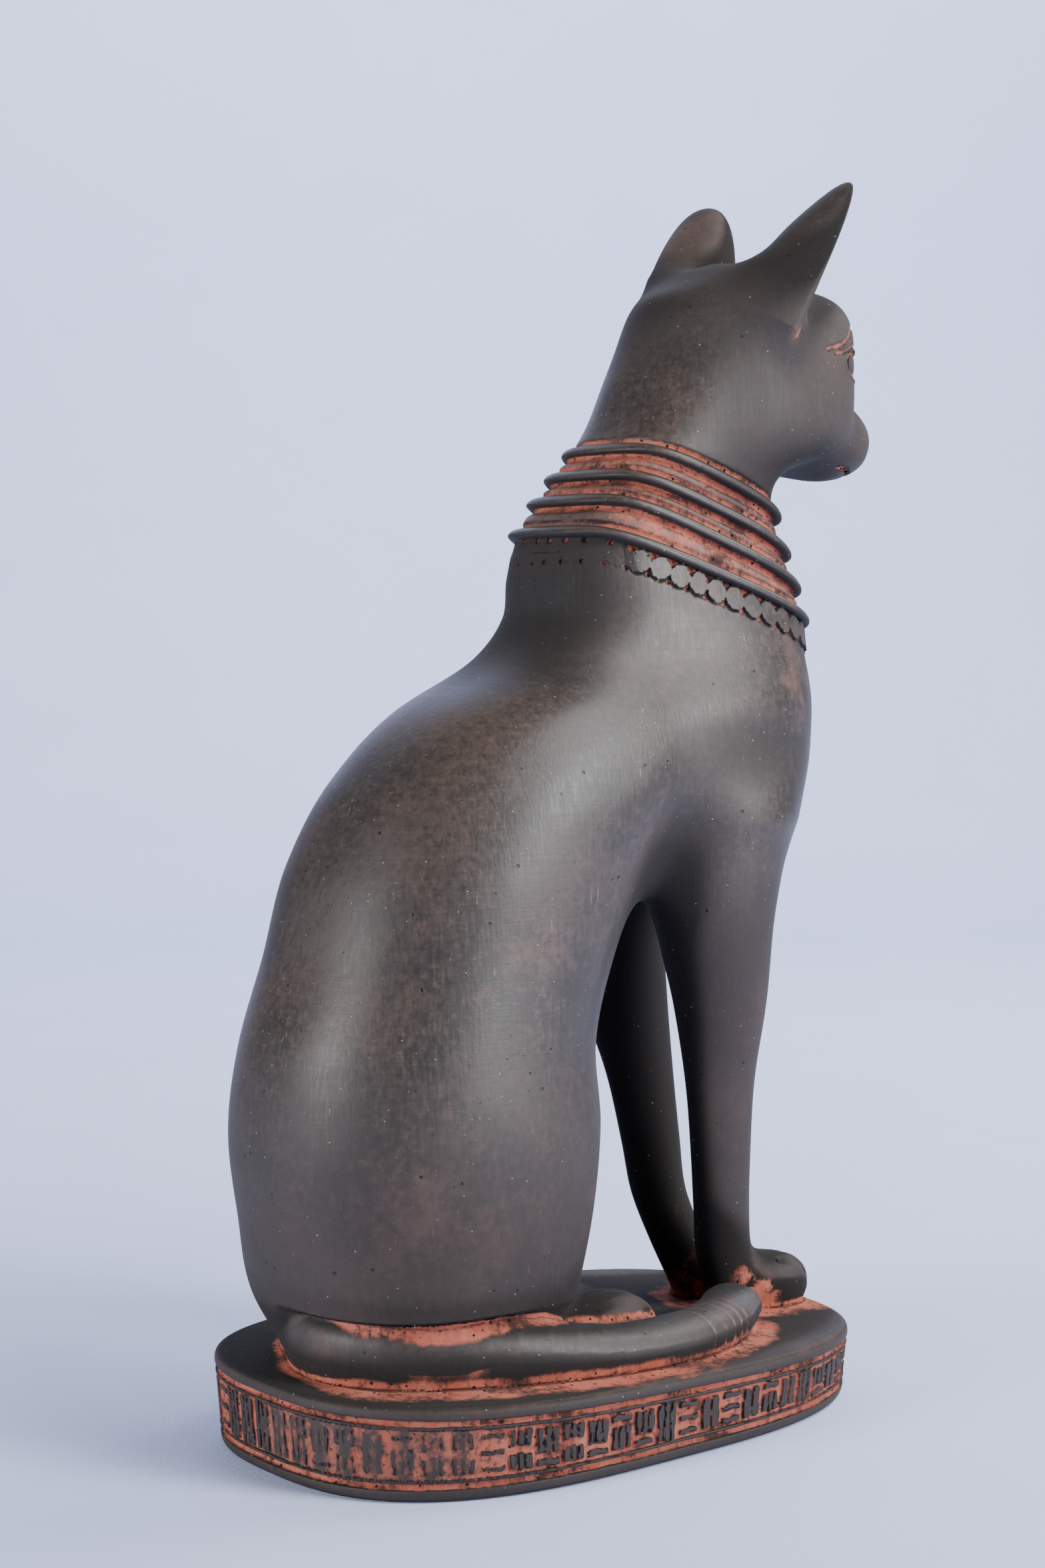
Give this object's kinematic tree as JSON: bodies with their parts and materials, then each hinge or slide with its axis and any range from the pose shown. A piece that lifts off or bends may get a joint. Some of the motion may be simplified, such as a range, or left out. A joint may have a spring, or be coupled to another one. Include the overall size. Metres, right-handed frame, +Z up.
{
  "type": "seated cat figure",
  "caption": "Upright seated cat figure with pricked ears, a ringed collar and a tail wrapped round its side, cast as a single piece with a low oval plinth.",
  "frame": {"origin": "centre of the plinth's flat underside", "axes": "+Z up through the cat; the cat faces -Y and its left side is +X"},
  "size_m": [0.1078, 0.1945, 0.306],
  "materials": {
    "wax_brown_composite": "satin waxy patina over filled resin, with earth red left in the recesses"
  },
  "bodies": {
    "root": {"bastet_cat_on_plinth": "wax_brown_composite"}
  },
  "joints": []
}
